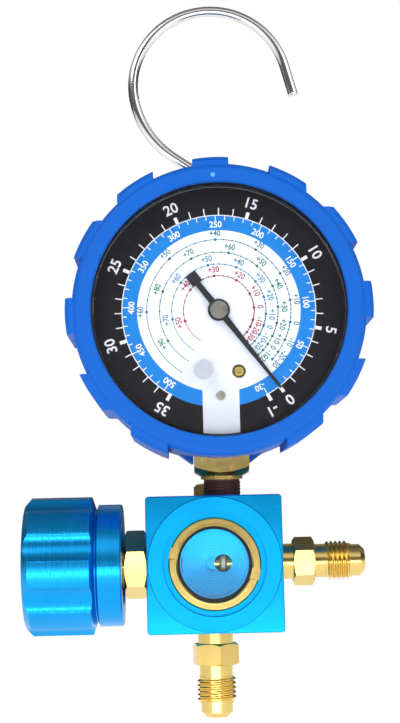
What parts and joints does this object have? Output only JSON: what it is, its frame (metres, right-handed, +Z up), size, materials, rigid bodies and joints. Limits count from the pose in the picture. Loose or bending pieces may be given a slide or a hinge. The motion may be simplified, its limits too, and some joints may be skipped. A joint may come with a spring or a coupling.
{
  "type": "refrigerant manifold gauge",
  "caption": "Single-valve refrigerant manifold: boot-covered dial gauge, blue block with sight glass, fluted valve knob, brass flare ports and a wire hanging hook.",
  "frame": {"origin": "centre of the end of the bottom flare port, on the port axis", "axes": "+X along the valve from the knob to the side port, +Y from the dial to the back, +Z up from the bottom port to the gauge and hook"},
  "size_m": [0.0991, 0.0449, 0.2126],
  "materials": {
    "blue_anodised": "satin, bright blue anodised",
    "brass": "turned, bright",
    "bright_steel": "bright nickel plated",
    "black_rubber": "satin",
    "clear_glass": "clear",
    "white_seal": "white PTFE",
    "blue_knob_plastic": "semi-gloss",
    "thread_sealant": "dried dark red sealant",
    "black_case_steel": "black enamel",
    "blue_boot_rubber": "satin soft PVC",
    "phosphor_bronze": "drawn, satin",
    "black_dial_paint": "black enamel with printed scales",
    "black_pointer_paint": "matt black",
    "clear_polycarbonate": "clear gloss",
    "frosted_plug": "translucent, frosted"
  },
  "bodies": {
    "gauge_body": {"manifold_block": "blue_anodised", "sight_gasket": "black_rubber", "sight_glass": "clear_glass", "sight_ring": "brass", "right_port": "brass", "bottom_port": "brass", "valve_bonnet": "brass", "bonnet_oring": "black_rubber", "stem_orings": "black_rubber", "hook_nut": "brass", "gauge_socket": "brass", "thread_seal": "thread_sealant", "restrictor_screw": "brass", "gauge_case": "black_case_steel", "case_screws": "bright_steel", "protective_boot": "blue_boot_rubber", "bourdon_tube": "phosphor_bronze", "movement_back_plate": "brass", "movement_front_plate": "brass", "movement_pillars": "brass", "movement_screws": "bright_steel", "hairspring": "phosphor_bronze", "hairspring_stud": "brass", "dial_post": "brass", "dial_plate": "black_dial_paint", "dial_screw": "bright_steel", "lens_gasket": "black_rubber", "lens": "clear_polycarbonate", "lens_plug": "frosted_plug"},
    "pointer_group": {"pinion_shaft": "bright_steel", "hairspring_collet": "brass", "pointer": "black_pointer_paint", "pointer_cap": "bright_steel"},
    "sector_group": {"sector_gear": "brass"},
    "tip_group": {"tube_tip": "brass"},
    "link_group": {"link_rod": "brass"},
    "lift_group": {"seat_disc": "white_seal"},
    "knob_group": {"valve_stem": "brass", "knob": "blue_knob_plastic", "knob_washer": "bright_steel", "knob_screw": "bright_steel"},
    "hook_group": {"hook_wire": "bright_steel"},
    "calibration_group": {"calibration_screw": "brass"}
  },
  "joints": [
    {"name": "pointer_turn", "type": "hinge", "parent": "gauge_body", "child": "pointer_group", "pos_m": [0.0028, -0.018, 0.1135], "axis": [0, -1, 0], "range_deg": [-8.5, 292], "stiffness_Nm_per_rad": 0.002, "deforming": ["hairspring"]},
    {"name": "sector_turn", "type": "hinge", "parent": "gauge_body", "child": "sector_group", "pos_m": [-0.0031, -0.011, 0.0989], "axis": [0, -1, 0], "range_deg": [-36.6, 1.1]},
    {"name": "tube_tip_slide", "type": "slide", "parent": "gauge_body", "child": "tip_group", "axis": [-0.5592, 0, 0.829], "range_m": [-0.00012, 0.00424], "deforming": ["bourdon_tube"]},
    {"name": "link_turn", "type": "hinge", "parent": "tip_group", "child": "link_group", "pos_m": [-0.01945, -0.01, 0.09821], "axis": [0, -1, 0], "range_deg": [-9.2, 0.3]},
    {"name": "valve_lift", "type": "slide", "parent": "gauge_body", "child": "lift_group", "axis": [-1, 0, 0], "range_m": [0, 0.00301]},
    {"name": "valve_turn", "type": "hinge", "parent": "lift_group", "child": "knob_group", "pos_m": [-0.044, 0, 0.0431], "axis": [-1, 0, 0], "range_deg": [0, 1080]},
    {"name": "hook_swivel", "type": "hinge", "parent": "gauge_body", "child": "hook_group", "pos_m": [0, 0.0108, 0.06], "axis": [0, 0, 1], "continuous": true},
    {"name": "calibration_turn", "type": "hinge", "parent": "gauge_body", "child": "calibration_group", "pos_m": [0.008, -0.016, 0.0963], "axis": [0, -1, 0], "range_deg": [-90, 90]}
  ],
  "couplings": [
    {"joint": "pointer_turn", "follows": "tube_tip_slide", "rad_per_m": 1203.1},
    {"joint": "sector_turn", "follows": "tube_tip_slide", "rad_per_m": -150.39},
    {"joint": "link_turn", "follows": "tube_tip_slide", "rad_per_m": -37.536},
    {"joint": "valve_lift", "follows": "valve_turn", "m_per_rad": 0.00015915}
  ]
}
